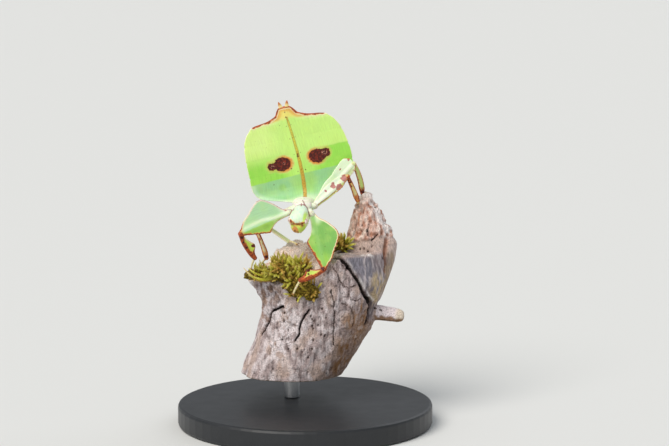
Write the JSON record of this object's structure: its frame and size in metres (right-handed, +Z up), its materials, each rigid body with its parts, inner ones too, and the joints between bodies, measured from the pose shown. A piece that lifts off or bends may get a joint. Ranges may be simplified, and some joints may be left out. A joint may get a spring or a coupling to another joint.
{
  "type": "leaf insect",
  "caption": "Leaf insect nymph with raised leaf-shaped abdomen and lobed legs, gripping a mossy broken branch stub on a round display stand.",
  "frame": {"origin": "centre of the stand base's flat underside", "axes": "+Z up; the insect's head points to -Y, its right side is at -X and its left side at +X"},
  "size_m": [0.072, 0.072, 0.0908],
  "materials": {
    "cuticle_green": "waxy, satin leaf-green cuticle, slightly translucent",
    "cuticle_pale": "waxy whitish-green cuticle",
    "cuticle_rust": "rust-red to orange cuticle with yellow-green patches",
    "eye": "smooth pinkish cream compound eye",
    "bark": "rough weathered grey-brown bark and bare broken wood",
    "moss": "soft olive and yellow-green leafy moss",
    "base_acrylic": "satin black cast acrylic",
    "rod_steel": "brushed stainless rod"
  },
  "bodies": {
    "root": {"abdomen_base": "cuticle_green", "abdomen_middle": "cuticle_green", "abdomen_tip": "cuticle_green", "antenna_left": "cuticle_rust", "antenna_right": "cuticle_rust", "cercus_left": "cuticle_pale", "cercus_right": "cuticle_pale", "eye_left": "eye", "eye_right": "eye", "head": "cuticle_pale", "leg_front_left_coxa": "cuticle_pale", "leg_front_left_femur": "cuticle_green", "leg_front_left_tarsus": "cuticle_pale", "leg_front_left_tibia": "cuticle_rust", "leg_front_right_coxa": "cuticle_pale", "leg_front_right_femur": "cuticle_green", "leg_front_right_tarsus": "cuticle_pale", "leg_front_right_tibia": "cuticle_rust", "leg_hind_left_coxa": "cuticle_pale", "leg_hind_left_femur": "cuticle_green", "leg_hind_left_tarsus": "cuticle_pale", "leg_hind_left_tibia": "cuticle_rust", "leg_hind_right_coxa": "cuticle_pale", "leg_hind_right_femur": "cuticle_green", "leg_hind_right_tarsus": "cuticle_pale", "leg_hind_right_tibia": "cuticle_rust", "leg_mid_left_coxa": "cuticle_pale", "leg_mid_left_femur": "cuticle_green", "leg_mid_left_tarsus": "cuticle_pale", "leg_mid_left_tibia": "cuticle_rust", "leg_mid_right_coxa": "cuticle_pale", "leg_mid_right_femur": "cuticle_green", "leg_mid_right_tarsus": "cuticle_pale", "leg_mid_right_tibia": "cuticle_rust", "mesothorax": "cuticle_pale", "metathorax": "cuticle_pale", "mouthparts": "cuticle_rust", "perch": "bark", "perch_moss": "moss", "perch_moss_tuft": "moss", "prothorax": "cuticle_pale", "stand_base": "base_acrylic", "stand_rod": "rod_steel"}
  },
  "joints": []
}
